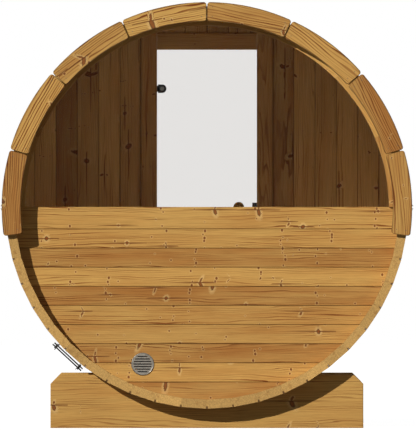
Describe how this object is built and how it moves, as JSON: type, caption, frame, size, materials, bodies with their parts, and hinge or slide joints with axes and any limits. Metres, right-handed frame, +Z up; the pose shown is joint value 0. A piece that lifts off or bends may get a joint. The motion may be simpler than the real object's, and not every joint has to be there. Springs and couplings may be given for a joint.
{
  "type": "barrel sauna",
  "caption": "Barrel sauna of staves on two cradles, with a half-moon window over a half wall and a hinged glass door.",
  "frame": {"origin": "on the ground, under the middle of the barrel", "axes": "+Z up, +Y along the barrel towards the door end, +X to the right seen from the window end"},
  "size_m": [2.0716, 1.88, 2.1313],
  "materials": {
    "stave_wood": "planed softwood",
    "trim_wood": "planed softwood",
    "wall_wood": "planed softwood",
    "frame_wood": "planed softwood",
    "cradle_wood": "planed softwood",
    "floor_wood": "planed softwood",
    "knob_wood": "planed softwood",
    "window_pane": "clear toughened",
    "door_pane": "clear toughened",
    "band_steel": "dark rolled strip",
    "rod_steel": "black oxide",
    "hinge_metal": "black satin",
    "bolt_steel": "brushed",
    "vent_metal": "satin",
    "catch_plastic": "dark grey"
  },
  "bodies": {
    "barrel": {"band_door_end": "band_steel", "band_window_end": "band_steel", "cradle_door_end": "cradle_wood", "cradle_window_end": "cradle_wood", "door_catch": "catch_plastic", "door_head": "frame_wood", "door_jamb_left": "frame_wood", "door_jamb_right": "frame_wood", "door_threshold": "frame_wood", "door_trim": "trim_wood", "door_wall_left": "wall_wood", "door_wall_over": "wall_wood", "door_wall_right": "wall_wood", "door_wall_under": "wall_wood", "floor_bearers": "floor_wood", "floor_boards": "floor_wood", "half_wall": "wall_wood", "hinge_lower_bracket": "hinge_metal", "hinge_upper_bracket": "hinge_metal", "staves_bottom": "stave_wood", "staves_left": "stave_wood", "staves_lower_left": "stave_wood", "staves_lower_right": "stave_wood", "staves_right": "stave_wood", "staves_top": "stave_wood", "staves_upper_left": "stave_wood", "staves_upper_right": "stave_wood", "tension_rod_door_end": "rod_steel", "tension_rod_window_end": "rod_steel", "vent": "vent_metal", "window_bead_inside": "frame_wood", "window_bead_outside": "frame_wood", "window_glass": "window_pane", "window_trim": "trim_wood"},
    "door": {"door_glass": "door_pane", "hinge_upper_clamp": "hinge_metal", "hinge_lower_clamp": "hinge_metal", "knob_inside": "knob_wood", "knob_outside": "knob_wood", "knob_bolt": "bolt_steel"}
  },
  "joints": [
    {"name": "door_hinge", "type": "hinge", "parent": "barrel", "child": "door", "pos_m": [-0.284, 0.843, 1.10546], "axis": [0, 0, 1], "range_deg": [0, 105]}
  ]
}
